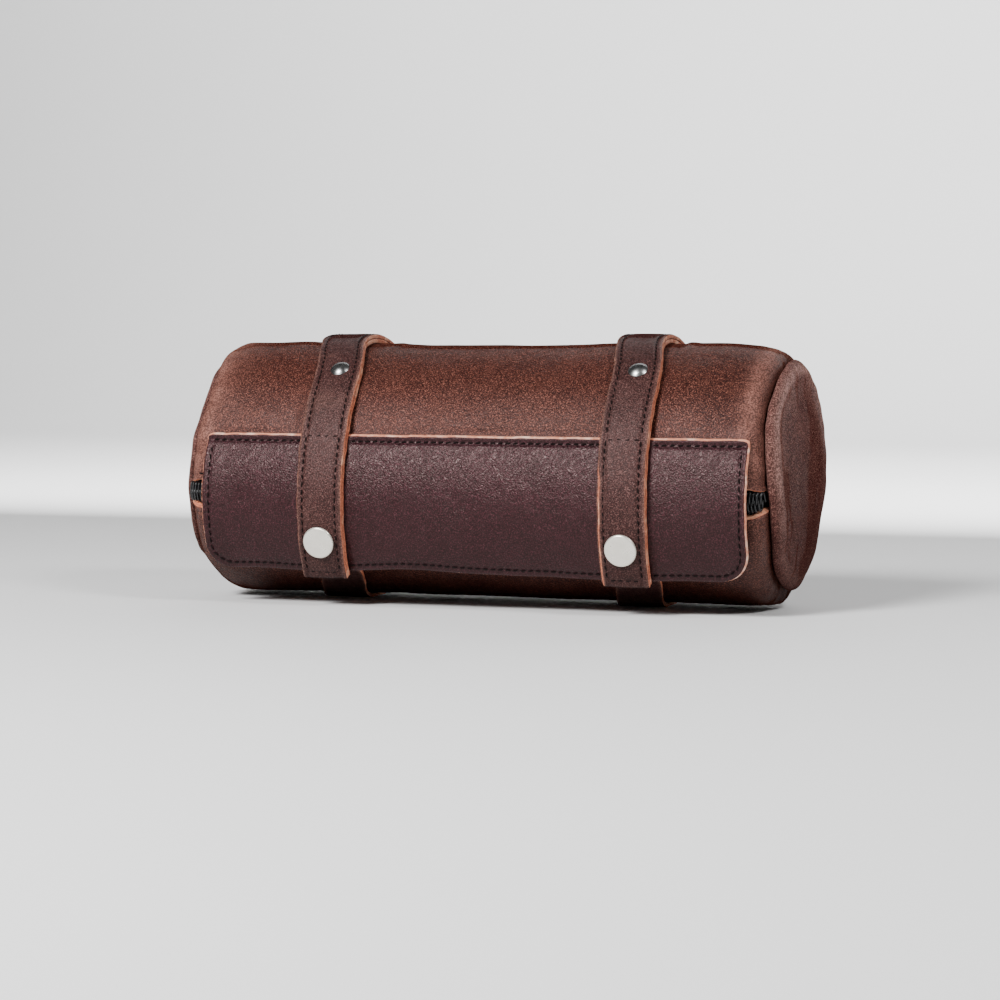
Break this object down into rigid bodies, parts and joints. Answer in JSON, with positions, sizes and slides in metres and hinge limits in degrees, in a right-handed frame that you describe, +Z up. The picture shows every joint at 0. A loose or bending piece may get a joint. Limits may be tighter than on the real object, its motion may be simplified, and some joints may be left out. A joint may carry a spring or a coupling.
{
  "type": "brush roll case",
  "caption": "Barrel-shaped leather brush case with a zipped mouth under a flap, held shut by two straps with snap fasteners.",
  "frame": {"origin": "centre of the bounding box's footprint, on the plane that the straps' flat undersides rest on", "axes": "+X along the barrel towards the end that the straps are shifted to, -Y out of the flap side, +Z up"},
  "size_m": [0.254, 0.1158, 0.1074],
  "materials": {
    "body_leather": "oiled, pebbled, brown with lighter pull-up",
    "end_leather": "oiled, pebbled, brown",
    "body_lining": "woven, dark brown",
    "binding": "woven tape, black",
    "thread": "waxed thread, dark brown",
    "flap_leather": "oiled, smooth, dark purple brown",
    "flap_lining": "suede, brown",
    "strap_leather": "oiled, smooth, brown with raw edges",
    "zip_tape": "woven, black",
    "zip_coil": "nylon, black",
    "zip_metal": "dark plated",
    "nickel": "nickel plated, slightly worn",
    "snap_metal": "nickel plated"
  },
  "bodies": {
    "case": {"barrel_panel": "body_leather", "barrel_lining": "body_lining", "end_panel_left": "end_leather", "end_panel_right": "end_leather", "end_lining_left": "body_lining", "end_lining_right": "body_lining", "seam_binding_left": "binding", "seam_binding_right": "binding", "end_seam_threads": "thread", "zip_tape_upper": "zip_tape", "zip_coil_upper": "zip_coil", "zip_tape_ends": "zip_tape", "zip_coil_ends": "zip_coil", "zip_seam_thread": "thread", "flap_sewn_edge": "flap_leather", "flap_seam_thread": "thread", "strap_left_wrap": "strap_leather", "strap_right_wrap": "strap_leather", "strap_left_cover": "strap_leather", "strap_right_cover": "strap_leather", "strap_wrap_threads": "thread", "rivet_caps": "nickel", "rivet_backs": "nickel", "snap_studs": "snap_metal", "snap_eyelets": "snap_metal"},
    "flap": {"flap_panel": "flap_leather", "flap_lining": "flap_lining", "flap_edge_threads": "thread", "flap_bend": "flap_leather", "strap_bends": "strap_leather", "strap_left_backing": "strap_leather", "strap_right_backing": "strap_leather", "strap_left_face": "strap_leather", "strap_right_face": "strap_leather", "strap_front_threads": "thread", "snap_caps": "nickel", "snap_sockets": "snap_metal", "snap_springs": "snap_metal"},
    "mouth_lip": {"lip_panel": "body_leather", "lip_lining": "body_lining", "lip_seam_thread": "thread", "zip_tape_lower": "zip_tape", "zip_coil_lower": "zip_coil"},
    "zip_slider": {"zip_slider_body": "zip_metal"},
    "zip_pull": {"zip_pull_tab": "zip_metal"}
  },
  "joints": [
    {"name": "flap_hinge", "type": "hinge", "parent": "case", "child": "flap", "pos_m": [0, -0.04891, 0.06415], "axis": [-1, 0, 0], "range_deg": [0, 110], "deforming": ["flap_bend", "strap_bends"]},
    {"name": "mouth_lip", "type": "hinge", "parent": "case", "child": "mouth_lip", "pos_m": [0, -0.02137, 0.00715], "axis": [-1, 0, 0], "range_deg": [0, 22]},
    {"name": "zip_slide", "type": "slide", "parent": "case", "child": "zip_slider", "axis": [1, 0, 0], "range_m": [0, 0.2081]},
    {"name": "pull_swing", "type": "hinge", "parent": "zip_slider", "child": "zip_pull", "pos_m": [-0.0998, -0.0493, 0.04352], "axis": [0, 0.9869, 0.1616], "range_deg": [0, 75]}
  ]
}
